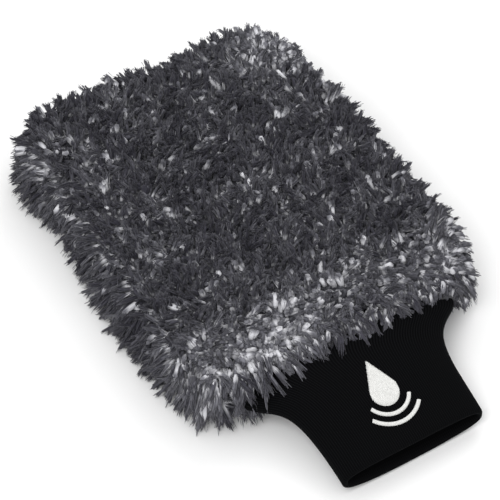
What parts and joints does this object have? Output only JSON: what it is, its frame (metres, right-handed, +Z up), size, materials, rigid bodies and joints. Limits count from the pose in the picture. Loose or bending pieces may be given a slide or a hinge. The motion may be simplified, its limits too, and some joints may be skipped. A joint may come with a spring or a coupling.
{
  "type": "wash mitt",
  "caption": "Plush wash mitt with deep pile on both faces, a lined hand pocket and a doubled rib-knit wrist cuff that bends at its joining seam.",
  "frame": {"origin": "bottom centre of the whole mitt's box, on the surface that the palm pile lies on", "axes": "+Z up through the back of the hand, -Y out of the cuff's mouth, +Y to the fingertips, X across"},
  "size_m": [0.205, 0.344, 0.054],
  "materials": {
    "pile": "charcoal and light grey plush pile",
    "backing_knit": "matte knit",
    "lining": "matte woven",
    "sewing_thread": "twisted thread",
    "rib_knit": "matte fine rib knit",
    "stabiliser": "matte felt",
    "embroidery_thread": "satin stitch"
  },
  "bodies": {
    "mitt_body": {"back_pile": "pile", "palm_pile": "pile", "back_ground": "backing_knit", "palm_ground": "backing_knit", "back_liner": "lining", "palm_liner": "lining", "side_seam": "sewing_thread", "liner_seam": "sewing_thread"},
    "cuff": {"cuff_shell": "rib_knit", "cuff_facing": "rib_knit", "cuff_join_seam": "sewing_thread", "emblem_backing": "stabiliser", "emblem_drop": "embroidery_thread", "emblem_ripples": "embroidery_thread"}
  },
  "joints": [
    {"name": "cuff_bend", "type": "hinge", "parent": "mitt_body", "child": "cuff", "pos_m": [0, -0.088, 0.027], "axis": [-1, 0, 0], "range_deg": [-30, 45]}
  ]
}
